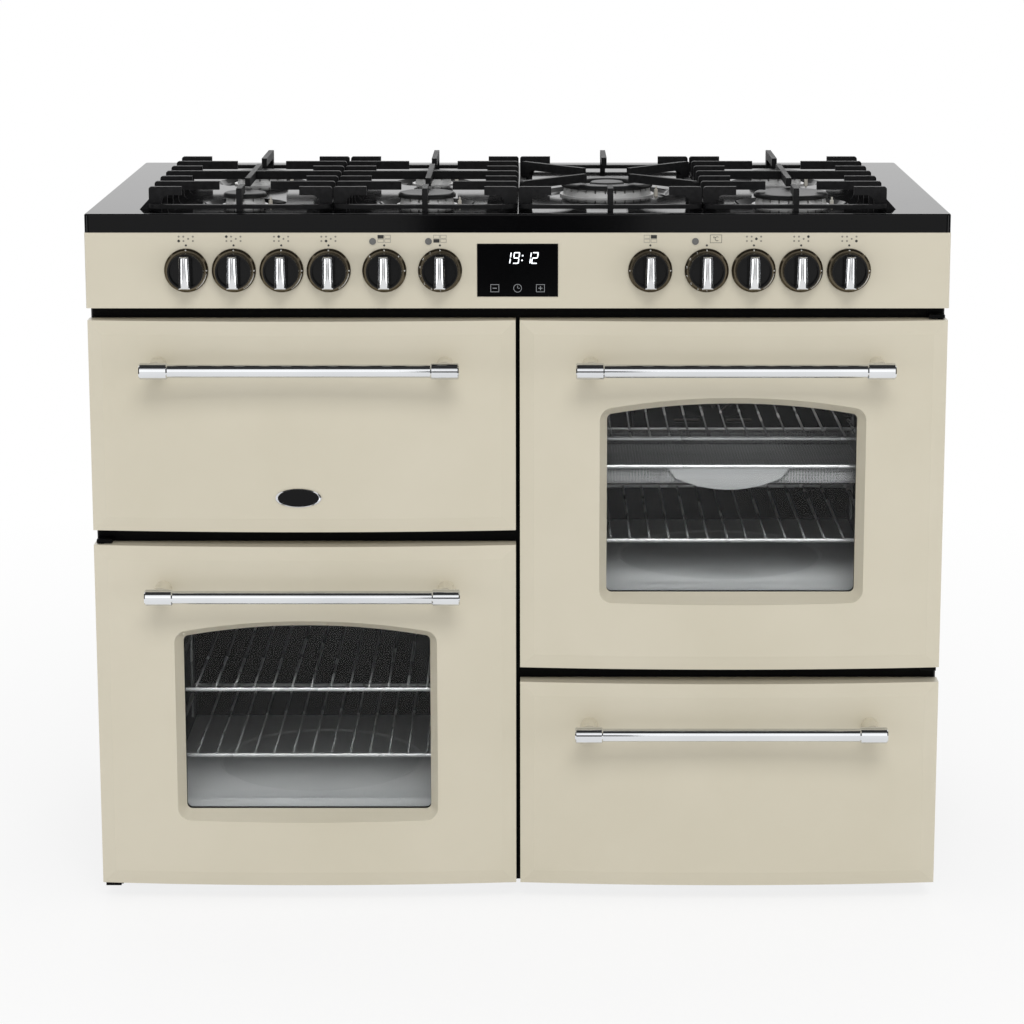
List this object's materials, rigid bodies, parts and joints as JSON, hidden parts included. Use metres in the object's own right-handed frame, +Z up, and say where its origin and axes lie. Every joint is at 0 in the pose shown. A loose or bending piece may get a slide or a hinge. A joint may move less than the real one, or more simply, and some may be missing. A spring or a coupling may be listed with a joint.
{
  "type": "dual fuel range cooker",
  "caption": "Free-standing cream range cooker with a gas hob on cast pan supports, drop-down grill door, side-hung oven doors with arched windows and a storage drawer.",
  "frame": {"origin": "middle of the footprint on the floor, handles included", "axes": "+X to the viewer's right, +Y to the back, +Z up; the doors face -Y"},
  "size_m": [1.1, 0.6585, 0.944],
  "materials": {
    "cream_enamel": "gloss cream enamel",
    "black_enamel": "gloss black enamel",
    "black_paint": "satin black paint",
    "zinc_steel": "zinc-coated sheet",
    "chrome": "polished chrome",
    "black_plastic": "gloss black",
    "cast_iron": "matt black cast iron",
    "aluminium": "cast, bright",
    "brass": "machined",
    "ceramic": "white ceramic",
    "element_steel": "heat-darkened tube",
    "window_glass": "clear, slightly grey",
    "display_glass": "black glass",
    "lamp_lens": "grey lens",
    "woven_seal": "woven glass rope"
  },
  "bodies": {
    "cabinet": {"back_panel": "zinc_steel", "base_tray": "zinc_steel", "burner_bodies": "aluminium", "burner_caps": "black_enamel", "burner_crowns": "aluminium", "control_bracket": "zinc_steel", "control_fascia": "cream_enamel", "crisping_basket": "chrome", "door_seals": "woven_seal", "drawer_runners": "zinc_steel", "fan_cover": "zinc_steel", "fan_motor": "zinc_steel", "front_frame": "black_paint", "gas_rail": "brass", "grill_chamber": "black_enamel", "grill_pan": "black_enamel", "heating_elements": "element_steel", "hinge_brackets": "black_paint", "hob_top": "black_enamel", "igniters": "ceramic", "indicator_lamps": "lamp_lens", "left_oven_chamber": "black_enamel", "levelling_feet": "black_plastic", "oven_base_plates": "zinc_steel", "oven_switches": "zinc_steel", "right_oven_chamber": "black_enamel", "side_panels": "black_paint", "side_racks": "chrome", "timer_display": "display_glass", "wire_shelves": "chrome"},
    "grill_door": {"grill_door_panel": "cream_enamel", "grill_door_liner": "black_enamel", "grill_door_handle": "chrome"},
    "left_door": {"left_door_panel": "cream_enamel", "left_door_liner": "black_enamel", "left_door_glass": "window_glass", "left_door_handle": "chrome"},
    "right_door": {"right_door_panel": "cream_enamel", "right_door_liner": "black_enamel", "right_door_glass": "window_glass", "right_door_handle": "chrome"},
    "drawer": {"drawer_front": "cream_enamel", "drawer_box": "zinc_steel", "drawer_handle": "chrome"},
    "oven_fan": {"oven_fan": "zinc_steel"},
    "knob_1": {"knob_1": "black_plastic"},
    "knob_2": {"knob_2": "black_plastic"},
    "knob_3": {"knob_3": "black_plastic"},
    "knob_4": {"knob_4": "black_plastic"},
    "knob_5": {"knob_5": "black_plastic"},
    "knob_6": {"knob_6": "black_plastic"},
    "knob_7": {"knob_7": "black_plastic"},
    "knob_8": {"knob_8": "black_plastic"},
    "knob_9": {"knob_9": "black_plastic"},
    "knob_10": {"knob_10": "black_plastic"},
    "knob_11": {"knob_11": "black_plastic"},
    "pan_support_1": {"pan_support_1": "cast_iron"},
    "pan_support_2": {"pan_support_2": "cast_iron"},
    "pan_support_3": {"pan_support_3": "cast_iron"},
    "pan_support_4": {"pan_support_4": "cast_iron"}
  },
  "joints": [
    {"name": "grill_door_drop", "type": "hinge", "parent": "cabinet", "child": "grill_door", "pos_m": [-0.27595, -0.25675, 0.5116], "axis": [1, 0, 0], "range_deg": [0, 90]},
    {"name": "left_door_swing", "type": "hinge", "parent": "cabinet", "child": "left_door", "pos_m": [-0.5412, -0.25675, 0.254], "axis": [0, 0, -1], "range_deg": [0, 105]},
    {"name": "right_door_swing", "type": "hinge", "parent": "cabinet", "child": "right_door", "pos_m": [0.5412, -0.25675, 0.549], "axis": [0, 0, 1], "range_deg": [0, 105]},
    {"name": "drawer_slide", "type": "slide", "parent": "cabinet", "child": "drawer", "axis": [0, -1, 0], "range_m": [0, 0.4]},
    {"name": "oven_fan_spin", "type": "hinge", "parent": "cabinet", "child": "oven_fan", "pos_m": [0.27595, 0.16425, 0.5645], "axis": [0, -1, 0], "continuous": true},
    {"name": "knob_1_turn", "type": "hinge", "parent": "cabinet", "child": "knob_1", "pos_m": [-0.421, -0.27075, 0.843], "axis": [0, -1, 0], "range_deg": [0, 210]},
    {"name": "knob_2_turn", "type": "hinge", "parent": "cabinet", "child": "knob_2", "pos_m": [-0.3605, -0.27075, 0.843], "axis": [0, -1, 0], "range_deg": [0, 210]},
    {"name": "knob_3_turn", "type": "hinge", "parent": "cabinet", "child": "knob_3", "pos_m": [-0.3, -0.27075, 0.843], "axis": [0, -1, 0], "range_deg": [0, 210]},
    {"name": "knob_4_turn", "type": "hinge", "parent": "cabinet", "child": "knob_4", "pos_m": [-0.24, -0.27075, 0.843], "axis": [0, -1, 0], "range_deg": [0, 210]},
    {"name": "knob_5_turn", "type": "hinge", "parent": "cabinet", "child": "knob_5", "pos_m": [-0.1693, -0.27075, 0.843], "axis": [0, -1, 0], "range_deg": [0, 270]},
    {"name": "knob_6_turn", "type": "hinge", "parent": "cabinet", "child": "knob_6", "pos_m": [-0.0985, -0.27075, 0.843], "axis": [0, -1, 0], "range_deg": [-270, 0]},
    {"name": "knob_7_turn", "type": "hinge", "parent": "cabinet", "child": "knob_7", "pos_m": [0.1686, -0.27075, 0.843], "axis": [0, -1, 0], "continuous": true},
    {"name": "knob_8_turn", "type": "hinge", "parent": "cabinet", "child": "knob_8", "pos_m": [0.2403, -0.27075, 0.843], "axis": [0, -1, 0], "range_deg": [-270, 0]},
    {"name": "knob_9_turn", "type": "hinge", "parent": "cabinet", "child": "knob_9", "pos_m": [0.3, -0.27075, 0.843], "axis": [0, -1, 0], "range_deg": [0, 210]},
    {"name": "knob_10_turn", "type": "hinge", "parent": "cabinet", "child": "knob_10", "pos_m": [0.36, -0.27075, 0.843], "axis": [0, -1, 0], "range_deg": [0, 210]},
    {"name": "knob_11_turn", "type": "hinge", "parent": "cabinet", "child": "knob_11", "pos_m": [0.421, -0.27075, 0.843], "axis": [0, -1, 0], "range_deg": [0, 210]},
    {"name": "pan_support_1_lift", "type": "slide", "parent": "cabinet", "child": "pan_support_1", "axis": [0, 0, 1], "range_m": [0, 0.06]},
    {"name": "pan_support_2_lift", "type": "slide", "parent": "cabinet", "child": "pan_support_2", "axis": [0, 0, 1], "range_m": [0, 0.06]},
    {"name": "pan_support_3_lift", "type": "slide", "parent": "cabinet", "child": "pan_support_3", "axis": [0, 0, 1], "range_m": [0, 0.06]},
    {"name": "pan_support_4_lift", "type": "slide", "parent": "cabinet", "child": "pan_support_4", "axis": [0, 0, 1], "range_m": [0, 0.06]}
  ]
}
